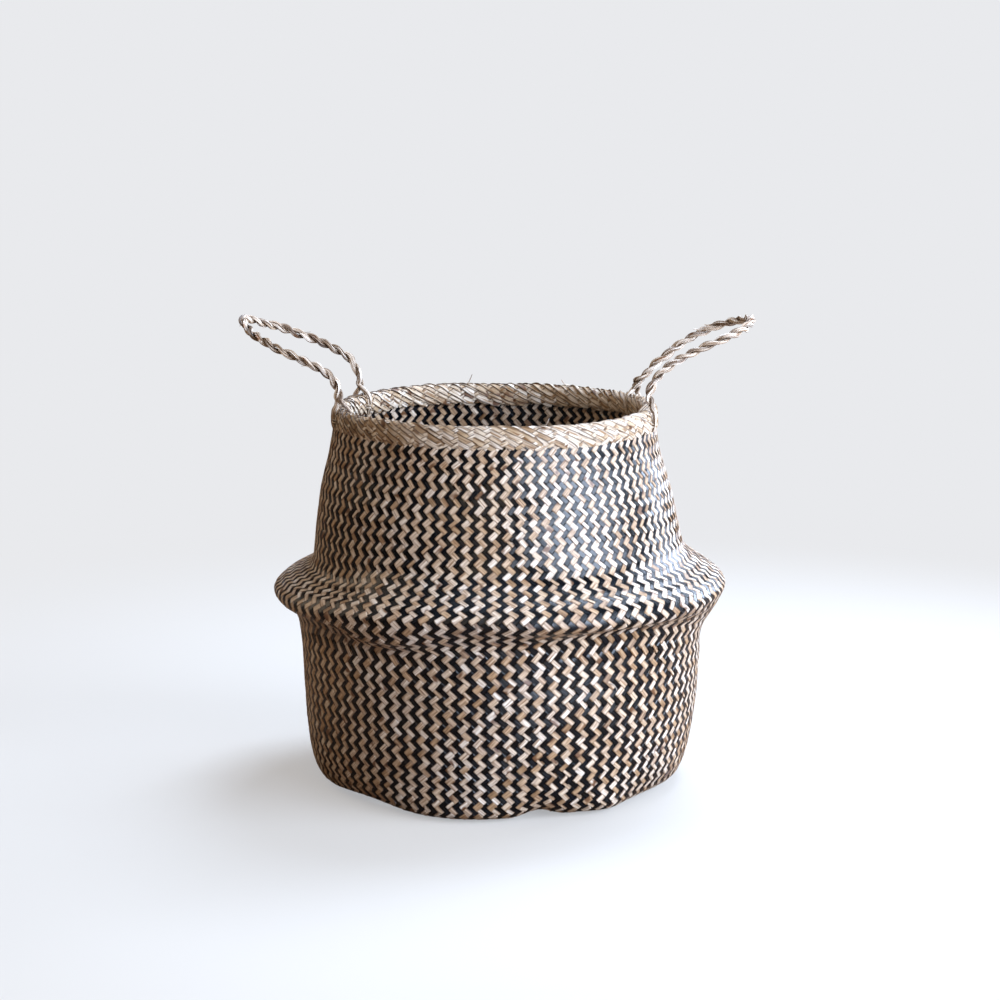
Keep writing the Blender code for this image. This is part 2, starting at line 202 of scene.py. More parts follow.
def corner_lift(angle):
    """Height of the dent in the lower edge, right of the middle of the front."""
    dent = 0.0058 * window(angle, -77, 10) + 0.0012 * window(angle, -62, 12)
    return dent + 0.0040 * window(angle, -138, 26) + 0.0030 * window(angle, 130, 30)


def corner_reach(angle):
    """How much further out than its round outline the lower edge lies."""
    out = 0.0095 * window(angle, -104, 30) + 0.0070 * window(angle, -57, 14)
    return out - 0.0045 * window(angle, -34, 20)


def wall_point(angle, length):
    """A point of the plait's middle face, at an angle about Z and a length up the wall."""
    index = np.interp(length, arc, np.arange(len(arc)))
    low = np.clip(np.floor(index).astype(int), 0, len(arc) - 2)
    part = (index - low)[..., None]
    turned = (angle + math.pi) % (2 * math.pi) - math.pi
    after = np.clip(np.searchsorted(station_angles, turned, side="right"), 1, len(station_angles) - 1)
    before = after - 1
    start, end = np.take(station_angles, before), np.take(station_angles, after)
    share = smooth_step((turned - start) / (end - start))[..., None]
    low_point = station_curves[before, low] * (1 - share) + station_curves[after, low] * share
    high_point = station_curves[before, low + 1] * (1 - share) + station_curves[after, low + 1] * share
    place = low_point * (1 - part) + high_point * part
    near_base = 1 - smooth_step((length - 0.012) / 0.035)
    up = length / WALL_LENGTH
    fade = np.clip(up / 0.12, 0, 1) * np.clip((1 - up) / 0.12, 0, 1)
    radius = place[..., 0] + fade * grid_value(swell, angle, up) + near_base * corner_reach(angle)
    height = place[..., 1] + np.maximum(0, length - WALL_LENGTH) + near_base * corner_lift(angle)
    x = radius * np.cos(angle) + RIM_SHIFT * smooth_step((up - 0.6) / 0.4) * 0.4
    return np.stack([x, radius * np.sin(angle), height], axis=-1)


def wall_frame(angle, length):
    """Point and outward normal of the plait's middle face."""
    step_angle, step = 0.004, 0.0006
    round_way = wall_point(angle + step_angle, length) - wall_point(angle - step_angle, length)
    low = np.clip(length - step, 0, WALL_LENGTH - 2 * step)
    up_way = wall_point(angle, low + 2 * step) - wall_point(angle, low)
    normal = np.cross(round_way, up_way)
    normal /= np.linalg.norm(normal, axis=-1, keepdims=True)
    return wall_point(angle, length), normal


class Ribbons:
    """Collects flat closed ribbons of one kind and makes one mesh of them."""

    # Section of a strand, as shares of its half width and half thickness: flat, with narrow edges
    SECTION = np.array([(-1.0, -0.2), (-0.93, 0.82), (0.0, 1.0), (0.93, 0.82), (1.0, -0.2), (0.9, -0.9), (-0.9, -0.9)])
    SHARP_FROM = math.radians(32)

    def __init__(self, name):
        self.name = name
        self.points, self.faces, self.uvs, self.tones = [], [], [], []
        self.count = 0

    def add(self, centre, across, normal, half_width, half_thickness, along, tone):
        """One ribbon: arrays of centres, unit side vectors and normals, and widths at each of them."""
        section = self.SECTION
        sides = len(section)
        number = len(centre)
        half_width = np.broadcast_to(half_width, (number,))[:, None, None]
        half_thickness = np.broadcast_to(half_thickness, (number,))[:, None, None]
        rings = (centre[:, None, :] + across[:, None, :] * section[None, :, :1] * half_width
                 + normal[:, None, :] * section[None, :, 1:] * half_thickness)
        ring = np.arange(sides)
        start = self.count + np.arange(number - 1)[:, None] * sides
        quads = np.stack([start + ring, start + (ring + 1) % sides,
                          start + sides + (ring + 1) % sides, start + sides + ring], axis=-1)
        self.points.append(rings.reshape(-1, 3))
        self.faces.append(quads.reshape(-1, 4))
        side_place = section[:, 0] * 0.5 + 0.5
        u0, u1 = side_place[ring], side_place[(ring + 1) % sides]
        v0, v1 = along[:-1, None], along[1:, None]
        shape = (number - 1, sides)
        uv = np.stack([np.stack([np.broadcast_to(u0, shape), np.broadcast_to(v0, shape)], -1),
                       np.stack([np.broadcast_to(u1, shape), np.broadcast_to(v0, shape)], -1),
                       np.stack([np.broadcast_to(u1, shape), np.broadcast_to(v1, shape)], -1),
                       np.stack([np.broadcast_to(u0, shape), np.broadcast_to(v1, shape)], -1)], axis=2)
        self.uvs.append(uv.reshape(-1, 2))
        tone = np.broadcast_to(tone, (number,))
        self.tones.append(np.repeat(tone, sides))
        self.count += number * sides

    def build(self, material):
        points = np.concatenate(self.points).astype(np.float32)
        faces = np.concatenate(self.faces).astype(np.int32)
        uvs = np.concatenate(self.uvs).astype(np.float32)
        tones = np.concatenate(self.tones).astype(np.float32)
        mesh = bpy.data.meshes.new(self.name)
        mesh.vertices.add(len(points))
        mesh.vertices.foreach_set("co", points.ravel())
        mesh.loops.add(faces.size)
        mesh.loops.foreach_set("vertex_index", faces.ravel())
        mesh.polygons.add(len(faces))
        mesh.polygons.foreach_set("loop_start", np.arange(0, faces.size, 4, dtype=np.int32))
        mesh.polygons.foreach_set("loop_total", np.full(len(faces), 4, np.int32))
        mesh.update(calc_edges=True)
        mesh.polygons.foreach_set("use_smooth", np.ones(len(faces), bool))
        mesh.set_sharp_from_angle(angle=self.SHARP_FROM)
        layer = mesh.uv_layers.new(name="strand")
        layer.data.foreach_set("uv", uvs.ravel())
        attribute = mesh.attributes.new("tone", "FLOAT", "POINT")
        attribute.data.foreach_set("value", tones)
        mesh.materials.append(material)
        piece = bpy.data.objects.new(self.name, mesh)
        bpy.context.scene.collection.objects.link(piece)
        return piece


# Materials
def linear(hex_colour):
    """sRGB hex to the linear colour that shader sockets take."""
    values = [int(hex_colour[i:i + 2], 16) / 255 for i in (0, 2, 4)]
    return tuple(v / 12.92 if v <= 0.04045 else ((v + 0.055) / 1.055) ** 2.4 for v in values) + (1.0,)


def node(tree, kind, **sockets):
    """Adds a node. A keyword that starts with set_ is a property, the rest are input values."""
    made = tree.nodes.new(kind)
    for name, value in sockets.items():
        if name.startswith("set_"):
            setattr(made, name[4:], value)
        else:
            made.inputs[name.replace("_", " ")].default_value = value
    return made


def ramp(tree, stops):
    made = tree.nodes.new("ShaderNodeValToRGB")
    elements = made.color_ramp.elements
    while len(elements) < len(stops):
        elements.new(0.5)
    for element, (place, colour) in zip(elements, stops):
        element.position = place
        element.color = linear(colour)
    return made


def strand_material(name, base_stops, fibre_dark, brown, roughness, sheen_level, bump, edge_shade, lines=8.0):
    """Dried seagrass: lengthwise fibres, strand to strand tones, patches along it, and painted shade along its edges.
    """
    material = bpy.data.materials.new(name)
    material.use_nodes = True
    tree = material.node_tree
    shader = tree.nodes["Principled BSDF"]
    link = tree.links.new
    uv = node(tree, "ShaderNodeUVMap", set_uv_map="strand")
    tone = node(tree, "ShaderNodeAttribute", set_attribute_name="tone")
    # shift each strand's pattern by its own tone, so that no two strands are alike
    shift = node(tree, "ShaderNodeMath", set_operation="MULTIPLY")
    shift.inputs[1].default_value = 37.0
    link(tone.outputs["Fac"], shift.inputs[0])
    split = node(tree, "ShaderNodeSeparateXYZ")
    link(uv.outputs["UV"], split.inputs[0])
    place = node(tree, "ShaderNodeCombineXYZ")
    link(split.outputs["X"], place.inputs["X"])
    link(split.outputs["Y"], place.inputs["Y"])
    link(shift.outputs[0], place.inputs["Z"])

    # fibres: fine lines along the strand, some 20 mm long, and this many of them across it
    fibre_map = node(tree, "ShaderNodeMapping", Scale=(lines, 50.0, 1.0))
    link(place.outputs[0], fibre_map.inputs["Vector"])
    fibres = node(tree, "ShaderNodeTexNoise", Scale=1.0, Detail=3.0, Roughness=0.6)
    link(fibre_map.outputs[0], fibres.inputs["Vector"])
    # patches: slow changes of tone along a strand, some 25 mm long
    patch_map = node(tree, "ShaderNodeMapping", Scale=(0.7, 38.0, 1.0))
    link(place.outputs[0], patch_map.inputs["Vector"])
    patches = node(tree, "ShaderNodeTexNoise", Scale=1.0, Detail=2.0, Roughness=0.5)
    link(patch_map.outputs[0], patches.inputs["Vector"])

    wave = node(tree, "ShaderNodeMath", set_operation="MULTIPLY_ADD")
    link(patches.outputs["Fac"], wave.inputs[0])
    wave.inputs[1].default_value = 1.1
    link(tone.outputs["Fac"], wave.inputs[2])
    level = node(tree, "ShaderNodeMath", set_operation="MULTIPLY_ADD", set_use_clamp=True)
    link(wave.outputs[0], level.inputs[0])
    level.inputs[1].default_value = 0.74
    level.inputs[2].default_value = -0.25
    base = ramp(tree, base_stops)
    link(level.outputs[0], base.inputs["Fac"])

    grain = ramp(tree, ((0.38, "000000"), (0.54, "FFFFFF")))
    link(fibres.outputs["Fac"], grain.inputs["Fac"])
    lined = node(tree, "ShaderNodeMix", set_data_type="RGBA", set_blend_type="MULTIPLY")
    lined.inputs[0].default_value = 1.0
    link(base.outputs["Color"], lined.inputs[6])
    line_tint = node(tree, "ShaderNodeMix", set_data_type="RGBA")
    link(grain.outputs["Color"], line_tint.inputs[0])
    line_tint.inputs[6].default_value = linear(fibre_dark)
    line_tint.inputs[7].default_value = (1.0, 1.0, 1.0, 1.0)
    link(line_tint.outputs[2], lined.inputs[7])

    # now and then a stretch of a strand is brown
    rare = ramp(tree, ((0.645, "000000"), (0.71, "FFFFFF")))
    rare_map = node(tree, "ShaderNodeMapping", Scale=(0.4, 60.0, 1.7), Location=(9.0, 3.0, 5.0))
    link(place.outputs[0], rare_map.inputs["Vector"])
    rare_noise = node(tree, "ShaderNodeTexNoise", Scale=1.0, Detail=1.0)
    link(rare_map.outputs[0], rare_noise.inputs["Vector"])
    link(rare_noise.outputs["Fac"], rare.inputs["Fac"])
    browned = node(tree, "ShaderNodeMix", set_data_type="RGBA")
    link(rare.outputs["Color"], browned.inputs[0])
    link(lined.outputs[2], browned.inputs[6])
    browned.inputs[7].default_value = linear(brown)

    # painted shade: the edges of a strand are darker, where it meets its neighbours and dives under them
    across = node(tree, "ShaderNodeMath", set_operation="PINGPONG")
    link(split.outputs["X"], across.inputs[0])
    across.inputs[1].default_value = 0.5
    edge = ramp(tree, ((0.0, edge_shade), (0.22, "FFFFFF")))
    link(across.outputs[0], edge.inputs["Fac"])
    edge_shaded = node(tree, "ShaderNodeMix", set_data_type="RGBA", set_blend_type="MULTIPLY")
    edge_shaded.inputs[0].default_value = 1.0
    link(browned.outputs[2], edge_shaded.inputs[6])
    link(edge.outputs["Color"], edge_shaded.inputs[7])
    link(edge_shaded.outputs[2], shader.inputs["Base Color"])

    rough = node(tree, "ShaderNodeMath", set_operation="MULTIPLY_ADD")
    link(fibres.outputs["Fac"], rough.inputs[0])
    rough.inputs[1].default_value = 0.25
    rough.inputs[2].default_value = roughness - 0.12
    link(rough.outputs[0], shader.inputs["Roughness"])
    shader.inputs["Specular IOR Level"].default_value = sheen_level
    # the fibres mirror light in a band across the strand, so the two ways of the plait shine in turn
    grain_way = node(tree, "ShaderNodeTangent", set_direction_type="UV_MAP", set_uv_map="strand")
    link(grain_way.outputs["Tangent"], shader.inputs["Tangent"])
    shader.inputs["Anisotropic"].default_value = 0.8
    relief = node(tree, "ShaderNodeBump", Strength=bump, Distance=0.00035)
    link(fibres.outputs["Fac"], relief.inputs["Height"])
    link(relief.outputs[0], shader.inputs["Normal"])
    return material


# the last colour given to each material is the painted shade along its strands' edges
natural = strand_material(
    "seagrass_natural_strand", ((0.0, "846443"), (0.30, "BFA07E"), (0.62, "DDC9B1"), (1.0, "F1E8DC")),
    fibre_dark="A4886C", brown="6C4A30", roughness=0.50, sheen_level=0.80, bump=0.6, edge_shade="8A705A")
black = strand_material(
    "seagrass_dyed_black_strand", ((0.0, "020509"), (0.5, "04090F"), (1.0, "081019")),
    fibre_dark="909090", brown="0B0908", roughness=0.26, sheen_level=0.41, bump=0.55, edge_shade="505050")
rim_grass = strand_material(
    "seagrass_rim_strand", ((0.0, "8C6E50"), (0.25, "C0A686"), (0.60, "DCCBB5"), (1.0, "EAE1D5")),
    fibre_dark="AE9376", brown="6C4A30", roughness=0.58, sheen_level=0.45, bump=0.8, edge_shade="564332",
    lines=4.0)
rope_grass = strand_material(
    "seagrass_rope_strand", ((0.0, "6A543E"), (0.28, "B8A188"), (0.62, "E2D4C3"), (1.0, "F4EDE4")),
    fibre_dark="A78C70", brown="80552F", roughness=0.60, sheen_level=0.55, bump=0.75, edge_shade="7A634E",
    lines=11.0)

# Body strands. Each has two points where it changes sides between crossings and one on each float.
CHANGE = 0.15                   # half length of a change of sides, in rows
FIRST_ROW = 1.0
BLACK_TOP = 0.3168              # the dyed strands are trimmed where the natural edging begins
NATURAL_TOP = 0.3265
NATURAL_RISE = 0.00020          # natural strands lie over the edges of the dyed ones
row_points = np.array([row + part for row in range(0, ROWS + 5, 2) for part in (0.5, 1.5 - CHANGE, 1.5 + CHANGE)])
row_points = row_points[row_points >= FIRST_ROW]
sway = smooth_noise((24, 72), 3, True, 5) * 0.45 * COLUMN
settle = smooth_noise((24, 72), 3, True, 6) * 0.0011


def side_of(rows, first):
    """+1 where a strand lies on top and -1 where it lies below."""
    phase = np.mod(rows, 4)
    top = np.where((phase < 1.5) | (phase > 3.5), 1.0, -1.0)
    return top if first else -top


def side_vectors(centre, normal):
    """Unit vectors across a strand."""
    run = np.gradient(centre, axis=0)
    run /= np.linalg.norm(run, axis=1, keepdims=True)
    across = np.cross(normal, run)
    return across / np.linalg.norm(across, axis=1, keepdims=True)


body_pieces = {}
for colour in ("black", "natural"):
    for way in ("rising_left", "rising_right"):
        for part in ("lower", "neck"):
            key = "plait_%s_%s_%s" % (colour, way, part)
            body_pieces[key] = Ribbons(key)

for way, sign in (("rising_right", 1), ("rising_left", -1)):
    first = way == "rising_left"
    wobble = smooth_noise((STRANDS, len(row_points)), 5, False, 11 + sign) * 0.12
    fatness = smooth_noise((STRANDS, len(row_points)), 14, False, 21 + sign)
    roll = smooth_noise((STRANDS, len(row_points)), 1, False, 31 + sign) * 0.09
    for k in range(STRANDS):
        colour = "black" if k % 2 else "natural"
        angle = 2 * k * COLUMN + sign * row_points * COLUMN + wobble[k] * COLUMN
        length = row_points * ROW
        up = length / WALL_LENGTH
        angle, length = (angle + grid_value(sway, angle, up),
                         length + grid_value(settle, angle, up) * np.clip(row_points / 12, 0, 1))
        centre, normal = wall_frame(angle, length)
        across = side_vectors(centre, normal)
        a, b = np.hypot(centre[:, 0], centre[:, 1]) * COLUMN, ROW
        spacing = 2 * a * b / np.hypot(a, b)
        if colour == "black":
            width = 1.00 + 0.05 * fatness[k]
            rise = 0.0
        else:
            broad = rng.choice([1.32, 1.16, 0.98, 0.78], p=[0.36, 0.30, 0.20, 0.14])
            width = broad + (0.08 if sign > 0 else -0.08) + 0.12 * fatness[k]
            rise = NATURAL_RISE
        half_width = spacing * width / 2
        centre = centre + normal * (side_of(row_points, first) * (LIFT + rise))[:, None]
        lean = roll[k][:, None]
        tilted, lifted = across * np.cos(lean) + normal * np.sin(lean), normal * np.cos(lean) - across * np.sin(lean)
        tone = rng.uniform(0.0, 1.0)
        along = row_points * ROW * 1.5
        high = np.nonzero(centre[:, 2] > FOLD_ANCHOR[2])[0][0]
        last = np.nonzero(centre[:, 2] < (BLACK_TOP if colour == "black" else NATURAL_TOP))[0][-1] + 1
        for part, low_end, top_end in (("lower", 0, high + 1), ("neck", high, last)):
            span = slice(low_end, top_end)
            body_pieces["plait_%s_%s_%s" % (colour, way, part)].add(
                centre[span], tilted[span], lifted[span], half_width[span], STRAND_THICKNESS / 2, along[span], tone)

for key, ribbons in body_pieces.items():
    piece = ribbons.build(black if "black" in key else natural)
    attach(piece, "basket_body")
    if key.endswith("neck"):
        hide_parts("neck_wall")
        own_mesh(piece)
    else:
        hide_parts("base_corner", "lower_wall", "fold_underside")

# Base: a flat square plait, cut round
base_ribbons = {"black": Ribbons("base_plait_black"), "natural": Ribbons("base_plait_natural")}
BASE_PITCH = 0.0042
BASE_REACH = 0.1465              # the base's edge lies under the foot of the wall
half_count = int(BASE_REACH / BASE_PITCH)
for way in (0, 1):
    for k in range(-half_count, half_count + 1):
        offset = (k + 0.5 * way) * BASE_PITCH
        reach = math.sqrt(max(0.0, BASE_REACH ** 2 - offset ** 2))
        number = int(reach / BASE_PITCH)
        if number < 1:
            continue
        cells = np.arange(-number, number + 1)
        position = (cells + 0.5 * (1 - way)) * BASE_PITCH
        position = np.clip(position, -reach, reach)
        over = np.mod((cells - k) if way else (k - cells), 4) < 2
        height = 0.0014 + np.where(over, -0.0004, 0.0004) * (1 if way else -1)
        if way:
            centre = np.stack([np.full_like(position, offset), position, height], -1)
            across = np.tile((1.0, 0, 0), (len(cells), 1))
        else:
            centre = np.stack([position, np.full_like(position, offset), height], -1)
            across = np.tile((0.0, 1.0, 0), (len(cells), 1))
        normal = np.tile((0, 0, 1.0), (len(cells), 1))
        turn = math.radians(45)
        spin = np.array([[math.cos(turn), -math.sin(turn), 0], [math.sin(turn), math.cos(turn), 0], [0, 0, 1]])
        colour = "black" if k % 2 else "natural"
        centre = centre @ spin.T
        out = np.hypot(centre[:, 0], centre[:, 1])
        azimuth = np.arctan2(centre[:, 1], centre[:, 0])
        centre[:, :2] *= 1 + (smooth_step((out - 0.100) / 0.038) * corner_reach(azimuth) / np.maximum(out, 0.01))[:, None]
        centre[:, 2] += smooth_step((out - 0.115) / 0.025) * corner_lift(azimuth)
        base_ribbons[colour].add(centre, across @ spin.T, normal, BASE_PITCH * 0.47,
                                 0.0004, position, rng.uniform(0, 1))
for colour, ribbons in base_ribbons.items():
    piece = ribbons.build(black if colour == "black" else natural)
    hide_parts("base_panel")
    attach(piece, "basket_body")

# Rim: natural strands wrapped over the edge and down both sides, on a few that cross under them.
# At every third crossing the crossing strand shows.
RIM_STRANDS = 99
RIM_ROW = 0.0022
rim_section = catmull([
    (0.1368, 0.3120), (0.1345, 0.3150), (0.1325, 0.3185), (0.1315, 0.3228), (0.1313, 0.3270), (0.1322, 0.3300),
    (0.1343, 0.3317), (0.1366, 0.3320), (0.1388, 0.3311), (0.1403, 0.3288), (0.1411, 0.3250), (0.1417, 0.3212),
    (0.1418, 0.3175), (0.1414, 0.3145), (0.1402, 0.3118)], 6)
rim_distance = np.concatenate([[0], np.cumsum(np.linalg.norm(np.diff(rim_section, axis=0), axis=1))])
rim_slope = np.gradient(rim_section, axis=0)
rim_slope /= np.linalg.norm(rim_slope, axis=1, keepdims=True)
rim_face = np.stack([-rim_slope[:, 1], rim_slope[:, 0]], -1)
rim_rows = int(rim_distance[-1] / RIM_ROW)


def rim_frame(angle, at):
    """Point and outward normal of the rim, at an angle and a distance along its section."""
    flat = np.stack([np.interp(at, rim_distance, rim_section[:, i]) for i in (0, 1)], -1)
    face = np.stack([np.interp(at, rim_distance, rim_face[:, i]) for i in (0, 1)], -1)
    face /= np.linalg.norm(face, axis=-1, keepdims=True)
    radial = np.stack([np.cos(angle), np.sin(angle), np.zeros_like(angle)], -1)
    up = np.array([0, 0, 1.0])
    swing = 0.0007 * np.sin(3 * angle + 1.0) + 0.0005 * np.sin(7 * angle)
    centre = radial * flat[..., :1] + up * (flat[..., 1:] + swing[..., None] * 0.6)
    centre[..., 0] += RIM_SHIFT
    return centre, radial * face[..., :1] + up * face[..., 1:]


for name, sign in (("rim_wrapped_strands", 1), ("rim_crossing_strands", -1)):
    ribbons = Ribbons(name)
    for k in range(RIM_STRANDS):
        begin, end = rng.uniform(0.0, 1.8), rim_rows - rng.uniform(0.0, 1.8)
        rows = np.arange(math.ceil(begin), end, 0.5)
        whole = np.round(rows).astype(int)
        crossed = (2 * whole + k) % 3 if sign > 0 else (whole + k) % 3
        under = (crossed == 0) if sign > 0 else (crossed != 0)
        lift = np.where(under, -0.00042, 0.00042)
        half_row = np.abs(rows - whole) > 0.4
        lift[1:-1] = np.where(half_row[1:-1], (lift[:-2] + lift[2:]) / 2, lift[1:-1])
        wander = smooth_noise((2, len(rows)), 5, False, 300 + k * 2 + (sign > 0))
        angle = (2 * k + sign * rows) * math.pi / RIM_STRANDS + wander[0] * 0.012
        centre, normal = rim_frame(angle, rows * RIM_ROW)
        across = side_vectors(centre, normal)
        lean = (0.22 if sign > 0 else 0.0) + 0.20 * wander[1][:, None]
        tilted, lifted = across * np.cos(lean) + normal * np.sin(lean), normal * np.cos(lean) - across * np.sin(lean)
        from_end = np.minimum(rows - rows[0], rows[-1] - rows)
        width = rng.choice([0.0074, 0.0059, 0.0044], p=[0.35, 0.35, 0.30]) if sign > 0 else 0.0040
        half = width / 2 * (0.70 + 0.30 * np.clip(from_end / 1.0, 0, 1)) * (1 + 0.14 * wander[0])
        centre = centre + normal * (lift - 0.0003 * (1 - np.clip(from_end / 1.0, 0, 1)))[:, None]
        ribbons.add(centre, tilted, lifted, half, 0.00030, rows * RIM_ROW * 2, rng.uniform(0, 1))
    piece = ribbons.build(rim_grass)
    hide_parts("rim_core", "rim_outer_band", "rim_inner_band")
    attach(piece, "rim")

# Rope handles. A loop's leg as (out, half width, rise, lean) from its root to the tip, in its own
# frame; the lean raises the near leg's twin by as much as it lowers this one.
LOOPS = {
    "right": (0.104, 4.0, [(0, 52, 0, 0), (-1, 45, 8, -1), (6, 41, 19, -4), (22, 40, 33.5, -3), (44, 42, 47, -1),
                           (66, 41, 57, 0), (84, 28, 64, 0), (94, 0, 68.5, 0)]),
    "left": (0.096, 172.0, [(0, 48, 0, 0), (1.5, 49, 14, 1), (11, 51, 27.5, 0), (27, 51, 36.5, -1), (47.5, 48, 45, -1),
                            (67, 40, 53, -1), (83.5, 24, 60, -1), (95, 0, 67.5, 0)]),
}


def loop_path(leg):
    """Centre line of a loop in its own frame, from root to root."""
    leg = np.array(leg) / 1000
    first = [(out, half, rise + lean) for out, half, rise, lean in leg]
    second = [(out, -half, rise - lean) for out, half, rise, lean in leg[:-1]]
    return np.array(first + second[::-1])


def frames_along(path):
    """Unit tangents and two unit normals that turn as little as possible along the path."""
    tangent = np.gradient(path, axis=0)
    tangent /= np.linalg.norm(tangent, axis=1, keepdims=True)
    first = np.cross(tangent[0], (0, 0, 1.0))
    if np.linalg.norm(first) < 1e-3:
        first = np.cross(tangent[0], (0, 1.0, 0))
    first /= np.linalg.norm(first)
    ones = [first]
    for t in tangent[1:]:
        f = ones[-1] - t * (ones[-1] @ t)
        ones.append(f / np.linalg.norm(f))
    ones = np.array(ones)
    return tangent, ones, np.cross(tangent, ones)


def tube(name, paths, radii, material, sides=8, flat=1.0, others=None):
    """Tubes along paths as one mesh. A flat value over 1 makes their section oval.

    Where a path's other ply is nearly as near as the path itself, the tone is darker: painted shade in the crevice
    between the plies.
    """
    points, faces, uvs, tones = [], [], [], []
    count = 0
    for place, (path, radius) in enumerate(zip(paths, radii)):
        tangent, n1, n2 = frames_along(path)
        distance = np.concatenate([[0], np.cumsum(np.linalg.norm(np.diff(path, axis=0), axis=1))])
        ring = np.arange(sides)
        around = 2 * math.pi * ring / sides
        turn = rng.uniform(0, math.pi) + distance[:, None] * BLADE_TURN
        # a flat strand that turns about its own line as it goes
        r = radius[:, None] / np.sqrt(np.cos(around - turn) ** 2 + (np.sin(around - turn) / flat) ** 2)
        rings = (path[:, None, :] + n1[:, None, :] * (r * np.cos(around))[..., None]
                 + n2[:, None, :] * (r * np.sin(around))[..., None])
        number = len(path)
        start = count + np.arange(number - 1)[:, None] * sides
        faces.append(np.stack([start + ring, start + (ring + 1) % sides,
                               start + sides + (ring + 1) % sides, start + sides + ring], -1).reshape(-1, 4))
        points.append(rings.reshape(-1, 3))
        u0, u1 = ring / sides, (ring + 1) / sides
        s = (number - 1, sides)
        v0, v1 = np.broadcast_to(distance[:-1, None], s), np.broadcast_to(distance[1:, None], s)
        corners = ((u0, v0), (u1, v0), (u1, v1), (u0, v1))
        uvs.append(np.stack([np.stack([np.broadcast_to(u, s), v], -1) for u, v in corners], 2).reshape(-1, 2))
        tone = np.full((number, sides), rng.uniform(0, 1))
        if others and place < len(others):
            own, other = others[place]
            near = other[np.argmin(np.linalg.norm(path[:, None] - other[None], axis=2), axis=1)]
            gap = np.linalg.norm(rings - near[:, None], axis=2) - np.linalg.norm(rings - own[:, None], axis=2)
            # painted shade in the crevice between the two plies, darkest where they touch
            tone -= CREVICE_SHADE_DEPTH * (1 - smooth_step(gap / CREVICE_SHADE_REACH))
        tones.append(tone.ravel())
        count += number * sides
    mesh = bpy.data.meshes.new(name)
    points, faces = np.concatenate(points), np.concatenate(faces)
    mesh.from_pydata(points.tolist(), [], faces.tolist())
    mesh.polygons.foreach_set("use_smooth", np.ones(len(faces), bool))
    mesh.set_sharp_from_angle(angle=math.radians(55))
    mesh.uv_layers.new(name="strand").data.foreach_set("uv", np.concatenate(uvs).astype(np.float32).ravel())
    attribute = mesh.attributes.new("tone", "FLOAT", "POINT")
    attribute.data.foreach_set("value", np.concatenate(tones).astype(np.float32))
    mesh.materials.append(material)
    piece = bpy.data.objects.new(name, mesh)
    bpy.context.scene.collection.objects.link(piece)
    return piece


def resample(path, spacing):
    distance = np.concatenate([[0], np.cumsum(np.linalg.norm(np.diff(path, axis=0), axis=1))])
    number = max(2, int(round(distance[-1] / spacing)) + 1)
    at = np.linspace(0, distance[-1], number)
    return np.stack([np.interp(at, distance, path[:, i]) for i in range(3)], -1)


ROPE_PITCH = 0.0260
HELIX_RADIUS = 0.0019           # from the rope's axis to the middle of a ply
BLADES = 4                      # strands in a ply
BLADE_RADIUS = 0.00062          # half the thickness of a strand, which is wider by its flatness
BLADE_FLATNESS = 2.5
BLADE_OFFSET = 0.00120          # from the middle of a ply to a strand
# painted shade in the crevice between the plies: how much it darkens the tone, and how far it reaches
CREVICE_SHADE_DEPTH = 0.9             # how much darker the tone is between the two plies
CREVICE_SHADE_REACH = 0.0024
LOOSE_ENDS = 6                  # ends of strands that stand off each rope
BLADE_PITCH = 0.110
BLADE_TURN = 45                 # how fast a flat strand turns about its own line, in radians a metre
OUTER_TAIL = [(0.1414, 0.3352), (0.1434, 0.3318), (0.1442, 0.3275), (0.1443, 0.3232), (0.1440, 0.3192),
              (0.1426, 0.3152)]
INNER_TAIL = [(0.1341, 0.3352), (0.1313, 0.3322), (0.1300, 0.3280), (0.1298, 0.3230), (0.1307, 0.3175),
              (0.1332, 0.3130)]


def roots(chord, turn):
    """Azimuths of a loop's two roots."""
    spread = math.asin(chord / 2 / ROOT_RADIUS)
    return turn + spread, turn - spread


